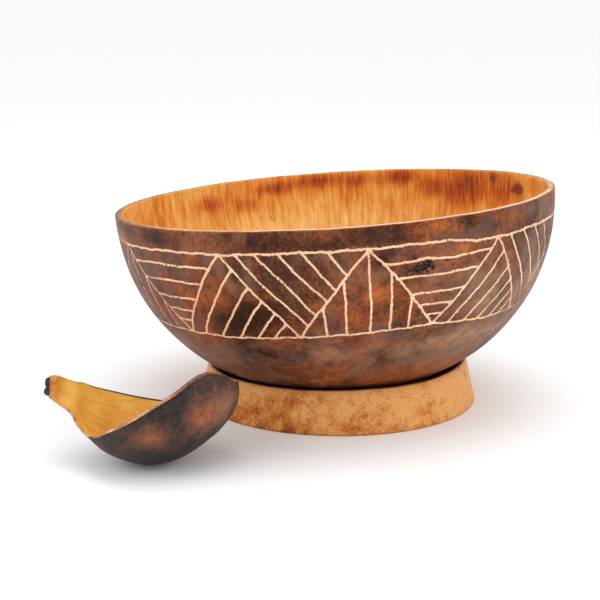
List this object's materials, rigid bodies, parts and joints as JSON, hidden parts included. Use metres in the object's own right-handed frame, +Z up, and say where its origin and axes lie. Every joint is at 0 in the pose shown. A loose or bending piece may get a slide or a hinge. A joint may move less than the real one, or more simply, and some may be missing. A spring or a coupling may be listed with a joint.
{
  "type": "engraved calabash bowl with ring stand and scoop",
  "caption": "Round gourd bowl engraved with a band of hatched triangles, sitting loose in a tapered gourd ring stand, with a small hand-cut gourd scoop beside it.",
  "frame": {"origin": "on the ground, under the middle of the whole set's bounding box", "axes": "+Z up, -Y the front, +X to the right as the set is seen from the front; the scoop lies at the front left"},
  "size_m": [0.3272, 0.3422, 0.1516],
  "materials": {
    "bowl_gourd": "dark mottled gourd skin, oiled to a satin sheen, with an orange-brown inside",
    "stand_gourd": "scraped orange-tan gourd, satin",
    "scoop_gourd": "charcoal-brown gourd skin, satin, with a golden inside",
    "stalk": "dry matte stalk"
  },
  "bodies": {
    "stand": {"ring_stand": "stand_gourd"},
    "bowl": {"bowl": "bowl_gourd"},
    "scoop": {"scoop": "scoop_gourd", "scoop_stem": "stalk"}
  },
  "joints": [
    {"name": "bowl_lift", "type": "slide", "parent": "stand", "child": "bowl", "axis": [0, 0, 1], "range_m": [0, 0.3]},
    {"name": "scoop_pickup", "type": "slide", "parent": "stand", "child": "scoop", "axis": [-0.44, -0.5499, 0.7099], "range_m": [0, 0.3]}
  ]
}
